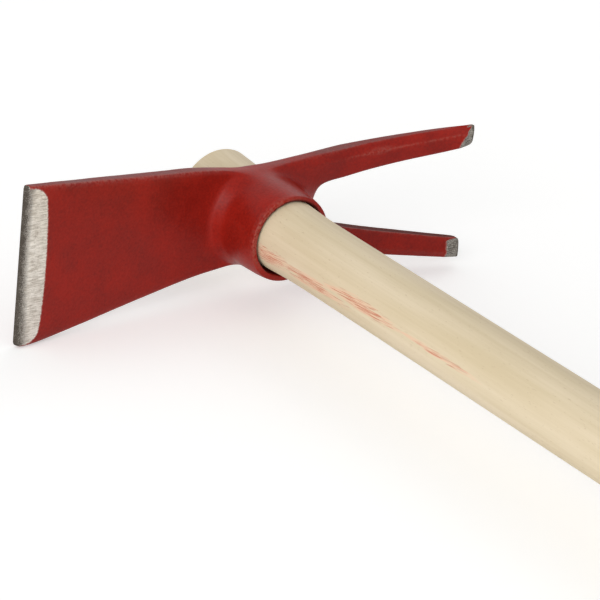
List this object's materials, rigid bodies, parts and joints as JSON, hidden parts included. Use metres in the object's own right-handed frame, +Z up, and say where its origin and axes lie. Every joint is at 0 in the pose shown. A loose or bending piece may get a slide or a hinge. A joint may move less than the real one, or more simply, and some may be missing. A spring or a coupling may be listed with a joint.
{
  "type": "fork hoe",
  "caption": "Long-handled fork hoe: a forged head with a flaring blade on one side and a fork on the other, seated on the conical top of a turned wooden handle.",
  "frame": {"origin": "middle of the tool's box at its lowest height, on the ground that the lower corner of the blade and the lower tine rest on", "axes": "+Y along the handle from the grip to its top end, +Z up across the width of the head, +X towards the tines and -X towards the blade"},
  "size_m": [0.2426, 1.2, 0.0757],
  "materials": {
    "red_paint": "satin red paint over a rough forging, with bare ground steel at the cutting edge and the tips of the tines",
    "beech": "raw sanded beech with faint grain and scuffs of red paint"
  },
  "bodies": {
    "root": {"forged_head": "red_paint", "handle": "beech"}
  },
  "joints": []
}
